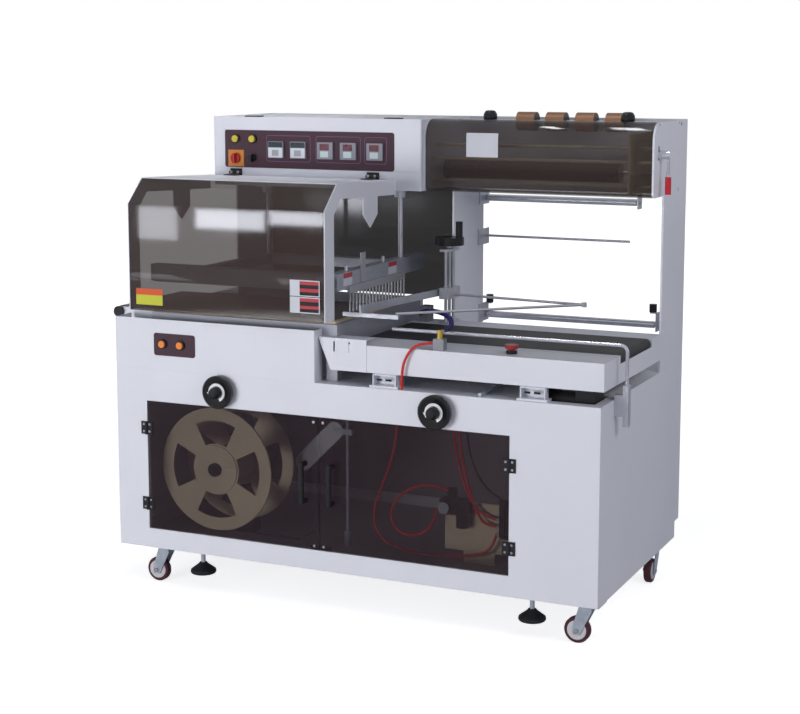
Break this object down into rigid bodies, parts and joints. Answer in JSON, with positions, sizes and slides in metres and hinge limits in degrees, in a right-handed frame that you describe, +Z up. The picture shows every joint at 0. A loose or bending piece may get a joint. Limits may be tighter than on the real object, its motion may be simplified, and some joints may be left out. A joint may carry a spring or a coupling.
{
  "type": "side sealer",
  "caption": "Film sealing machine on casters: conveyor bed with an L-shaped jaw under a hinged guard, overhead control box and film housing, cabinet with two smoked doors.",
  "frame": {"origin": "on the floor, in the middle of the machine's outline", "axes": "+X from the outfeed end to the infeed end (right as the operator faces the doors), +Y from the front to the back, +Z up"},
  "size_m": [1.667, 0.926, 1.466],
  "materials": {
    "base_frame": "dark grey paint",
    "inner_frame": "light paint",
    "front_panel": "light grey powder coat",
    "cabinet_panels": "light grey powder coat",
    "seal_housing": "light grey powder coat, maroon button plate",
    "lower_jaw": "bare aluminium with a soft strip",
    "outfeed_frame": "light grey powder coat",
    "infeed_frame": "light grey powder coat",
    "conveyor_belts": "white belt",
    "conveyor_motor": "black paint",
    "inner_posts": "light grey powder coat",
    "right_post": "light grey powder coat",
    "control_box": "light grey powder coat",
    "hinge_set": "black",
    "film_housing": "light grey powder coat",
    "film_cover": "smoked clear sheet",
    "rear_smoked_panel": "smoked clear sheet",
    "film_brackets": "bare steel, black knobs",
    "leveling_feet": "black foot, zinc stud",
    "reel_stand": "black paint",
    "air_unit": "black with clear bowl",
    "product_guide": "bright rod, steel block",
    "height_column": "bright rods",
    "rail_fittings": "black fittings",
    "red_hose": "red hose",
    "blue_hose": "navy spiral hose",
    "inner_hose": "red hose",
    "outfeed_roller": "steel roller with a black end disc",
    "infeed_roller": "steel roller",
    "control_hood": "light paint, maroon panel",
    "yellow_button_left": "yellow",
    "yellow_button_right": "yellow",
    "main_switch": "red",
    "selector_switch": "black",
    "orange_button_left": "orange",
    "orange_button_right": "orange",
    "stop_button": "red",
    "guard_frame": "light grey powder coat",
    "guard_shield": "smoked clear sheet",
    "upper_jaw": "bare aluminium, steel comb and rods",
    "feed_roller": "dark rubber roller",
    "support_roller": "tan rollers on a steel shaft",
    "brake_lever": "bright lever with a red grip",
    "upper_film_roller": "bright roller",
    "lower_film_roller": "bright roller",
    "left_dial": "black",
    "right_dial": "black",
    "left_door": "smoked clear sheet, black handle",
    "right_door": "smoked clear sheet, black handle",
    "scrap_reel": "light discs, black boss",
    "film_triangle": "bare steel",
    "height_crank": "black handwheel and grip",
    "caster_fork_front_left": "zinc plated",
    "caster_wheel_front_left": "maroon tyre, light hub",
    "caster_fork_front_right": "zinc plated",
    "caster_wheel_front_right": "maroon tyre, light hub",
    "caster_fork_rear_left": "zinc plated",
    "caster_wheel_rear_left": "maroon tyre, light hub",
    "caster_fork_rear_right": "zinc plated",
    "caster_wheel_rear_right": "maroon tyre, light hub"
  },
  "bodies": {
    "frame": {"base_frame": "base_frame", "inner_frame": "inner_frame", "front_panel": "front_panel", "cabinet_panels": "cabinet_panels", "seal_housing": "seal_housing", "lower_jaw": "lower_jaw", "outfeed_frame": "outfeed_frame", "infeed_frame": "infeed_frame", "conveyor_belts": "conveyor_belts", "conveyor_motor": "conveyor_motor", "inner_posts": "inner_posts", "right_post": "right_post", "control_box": "control_box", "hinge_set": "hinge_set", "film_housing": "film_housing", "film_cover": "film_cover", "rear_smoked_panel": "rear_smoked_panel", "film_brackets": "film_brackets", "leveling_feet": "leveling_feet", "reel_stand": "reel_stand", "air_unit": "air_unit", "product_guide": "product_guide", "height_column": "height_column", "rail_fittings": "rail_fittings", "red_hose": "red_hose", "blue_hose": "blue_hose", "inner_hose": "inner_hose"},
    "control_hood": {"control_hood": "control_hood"},
    "yellow_button_left": {"yellow_button_left": "yellow_button_left"},
    "yellow_button_right": {"yellow_button_right": "yellow_button_right"},
    "orange_button_left": {"orange_button_left": "orange_button_left"},
    "orange_button_right": {"orange_button_right": "orange_button_right"},
    "main_switch": {"main_switch": "main_switch"},
    "selector_switch": {"selector_switch": "selector_switch"},
    "stop_button": {"stop_button": "stop_button"},
    "guard": {"guard_frame": "guard_frame", "guard_shield": "guard_shield"},
    "upper_jaw": {"upper_jaw": "upper_jaw"},
    "feed_roller": {"feed_roller": "feed_roller"},
    "support_roller": {"support_roller": "support_roller"},
    "upper_film_roller": {"upper_film_roller": "upper_film_roller"},
    "lower_film_roller": {"lower_film_roller": "lower_film_roller"},
    "outfeed_roller": {"outfeed_roller": "outfeed_roller"},
    "infeed_roller": {"infeed_roller": "infeed_roller"},
    "left_dial": {"left_dial": "left_dial"},
    "right_dial": {"right_dial": "right_dial"},
    "scrap_reel": {"scrap_reel": "scrap_reel"},
    "brake_lever": {"brake_lever": "brake_lever"},
    "left_door": {"left_door": "left_door"},
    "right_door": {"right_door": "right_door"},
    "caster_fork_front_left": {"caster_fork_front_left": "caster_fork_front_left"},
    "caster_wheel_front_left": {"caster_wheel_front_left": "caster_wheel_front_left"},
    "caster_fork_front_right": {"caster_fork_front_right": "caster_fork_front_right"},
    "caster_wheel_front_right": {"caster_wheel_front_right": "caster_wheel_front_right"},
    "caster_fork_rear_left": {"caster_fork_rear_left": "caster_fork_rear_left"},
    "caster_wheel_rear_left": {"caster_wheel_rear_left": "caster_wheel_rear_left"},
    "caster_fork_rear_right": {"caster_fork_rear_right": "caster_fork_rear_right"},
    "caster_wheel_rear_right": {"caster_wheel_rear_right": "caster_wheel_rear_right"},
    "height_crank": {"height_crank": "height_crank"},
    "film_triangle": {"film_triangle": "film_triangle"}
  },
  "joints": [
    {"name": "control_hood_hinge", "type": "hinge", "parent": "frame", "child": "control_hood", "pos_m": [-0.3035, 0.168, 1.438], "axis": [-1, 0, 0], "range_deg": [0, 85]},
    {"name": "yellow_button_left_push", "type": "slide", "parent": "control_hood", "child": "yellow_button_left", "axis": [0, 1, 0], "range_m": [0, 0.003], "stiffness_N_per_m": 300, "springref_m": -0.002},
    {"name": "yellow_button_right_push", "type": "slide", "parent": "control_hood", "child": "yellow_button_right", "axis": [0, 1, 0], "range_m": [0, 0.003], "stiffness_N_per_m": 300, "springref_m": -0.002},
    {"name": "orange_button_left_push", "type": "slide", "parent": "frame", "child": "orange_button_left", "axis": [0, 1, 0], "range_m": [0, 0.003], "stiffness_N_per_m": 300, "springref_m": -0.002},
    {"name": "orange_button_right_push", "type": "slide", "parent": "frame", "child": "orange_button_right", "axis": [0, 1, 0], "range_m": [0, 0.003], "stiffness_N_per_m": 300, "springref_m": -0.002},
    {"name": "main_switch_turn", "type": "hinge", "parent": "control_hood", "child": "main_switch", "pos_m": [-0.5875, 0.023, 1.3055], "axis": [0, 1, 0], "range_deg": [0, 90]},
    {"name": "selector_switch_turn", "type": "hinge", "parent": "control_hood", "child": "selector_switch", "pos_m": [-0.5265, 0.023, 1.307], "axis": [0, 1, 0], "range_deg": [-45, 45]},
    {"name": "stop_button_push", "type": "slide", "parent": "frame", "child": "stop_button", "axis": [0, 0, -1], "range_m": [0, 0.004], "stiffness_N_per_m": 400, "springref_m": -0.002},
    {"name": "guard_hinge", "type": "hinge", "parent": "frame", "child": "guard", "pos_m": [-0.354, 0.03, 1.26], "axis": [-1, 0, 0], "range_deg": [0, 60]},
    {"name": "upper_jaw_stroke", "type": "slide", "parent": "frame", "child": "upper_jaw", "axis": [0, 0, -1], "range_m": [0, 0.0845]},
    {"name": "feed_roller_spin", "type": "hinge", "parent": "frame", "child": "feed_roller", "pos_m": [0.3685, 0.193, 1.281], "axis": [1, 0, 0], "continuous": true},
    {"name": "support_roller_spin", "type": "hinge", "parent": "frame", "child": "support_roller", "pos_m": [0.4285, 0.353, 1.426], "axis": [1, 0, 0], "continuous": true},
    {"name": "upper_film_roller_spin", "type": "hinge", "parent": "frame", "child": "upper_film_roller", "pos_m": [0.3735, 0.443, 1.172], "axis": [1, 0, 0], "continuous": true},
    {"name": "lower_film_roller_spin", "type": "hinge", "parent": "frame", "child": "lower_film_roller", "pos_m": [0.4135, 0.443, 0.786], "axis": [1, 0, 0], "continuous": true},
    {"name": "outfeed_roller_spin", "type": "hinge", "parent": "frame", "child": "outfeed_roller", "pos_m": [-0.8162, -0.117, 0.838], "axis": [0, 1, 0], "continuous": true},
    {"name": "infeed_roller_spin", "type": "hinge", "parent": "frame", "child": "infeed_roller", "pos_m": [0.7745, -0.08, 0.785], "axis": [0, 1, 0], "continuous": true},
    {"name": "left_dial_spin", "type": "hinge", "parent": "frame", "child": "left_dial", "pos_m": [-0.3945, -0.427, 0.6345], "axis": [0, 1, 0], "continuous": true},
    {"name": "right_dial_spin", "type": "hinge", "parent": "frame", "child": "right_dial", "pos_m": [0.3115, -0.427, 0.6345], "axis": [0, 1, 0], "continuous": true},
    {"name": "scrap_reel_spin", "type": "hinge", "parent": "frame", "child": "scrap_reel", "pos_m": [-0.4625, -0.257, 0.37], "axis": [0, 1, 0], "continuous": true},
    {"name": "brake_lever_turn", "type": "hinge", "parent": "frame", "child": "brake_lever", "pos_m": [0.8035, 0.113, 1.343], "axis": [-1, 0, 0], "range_deg": [0, 75]},
    {"name": "left_door_hinge", "type": "hinge", "parent": "frame", "child": "left_door", "pos_m": [-0.6585, -0.4115, 0.3825], "axis": [0, 0, -1], "range_deg": [0, 100]},
    {"name": "right_door_hinge", "type": "hinge", "parent": "frame", "child": "right_door", "pos_m": [0.5305, -0.4115, 0.3825], "axis": [0, 0, 1], "range_deg": [0, 100]},
    {"name": "caster_fork_front_left_swivel", "type": "hinge", "parent": "frame", "child": "caster_fork_front_left", "pos_m": [-0.6295, -0.355, 0.1], "axis": [0, 0, 1], "continuous": true},
    {"name": "caster_wheel_front_left_roll", "type": "hinge", "parent": "caster_fork_front_left", "child": "caster_wheel_front_left", "pos_m": [-0.6575, -0.355, 0.038], "axis": [0, 1, 0], "continuous": true},
    {"name": "caster_fork_front_right_swivel", "type": "hinge", "parent": "frame", "child": "caster_fork_front_right", "pos_m": [0.7485, -0.355, 0.1], "axis": [0, 0, 1], "continuous": true},
    {"name": "caster_wheel_front_right_roll", "type": "hinge", "parent": "caster_fork_front_right", "child": "caster_wheel_front_right", "pos_m": [0.7205, -0.355, 0.038], "axis": [0, 1, 0], "continuous": true},
    {"name": "caster_fork_rear_left_swivel", "type": "hinge", "parent": "frame", "child": "caster_fork_rear_left", "pos_m": [-0.6295, 0.293, 0.1], "axis": [0, 0, 1], "continuous": true},
    {"name": "caster_wheel_rear_left_roll", "type": "hinge", "parent": "caster_fork_rear_left", "child": "caster_wheel_rear_left", "pos_m": [-0.6295, 0.265, 0.038], "axis": [1, 0, 0], "continuous": true},
    {"name": "caster_fork_rear_right_swivel", "type": "hinge", "parent": "frame", "child": "caster_fork_rear_right", "pos_m": [0.7485, 0.293, 0.1], "axis": [0, 0, 1], "continuous": true},
    {"name": "caster_wheel_rear_right_roll", "type": "hinge", "parent": "caster_fork_rear_right", "child": "caster_wheel_rear_right", "pos_m": [0.7485, 0.265, 0.038], "axis": [1, 0, 0], "continuous": true},
    {"name": "height_crank_turn", "type": "hinge", "parent": "frame", "child": "height_crank", "pos_m": [0.1235, 0.125, 1.05], "axis": [0, 0, 1], "range_deg": [0, 7200]},
    {"name": "film_triangle_lift", "type": "slide", "parent": "frame", "child": "film_triangle", "axis": [0, 0, 1], "range_m": [0, 0.105]}
  ],
  "couplings": [
    {"joint": "film_triangle_lift", "follows": "height_crank_turn", "m_per_rad": 0.00079577}
  ]
}
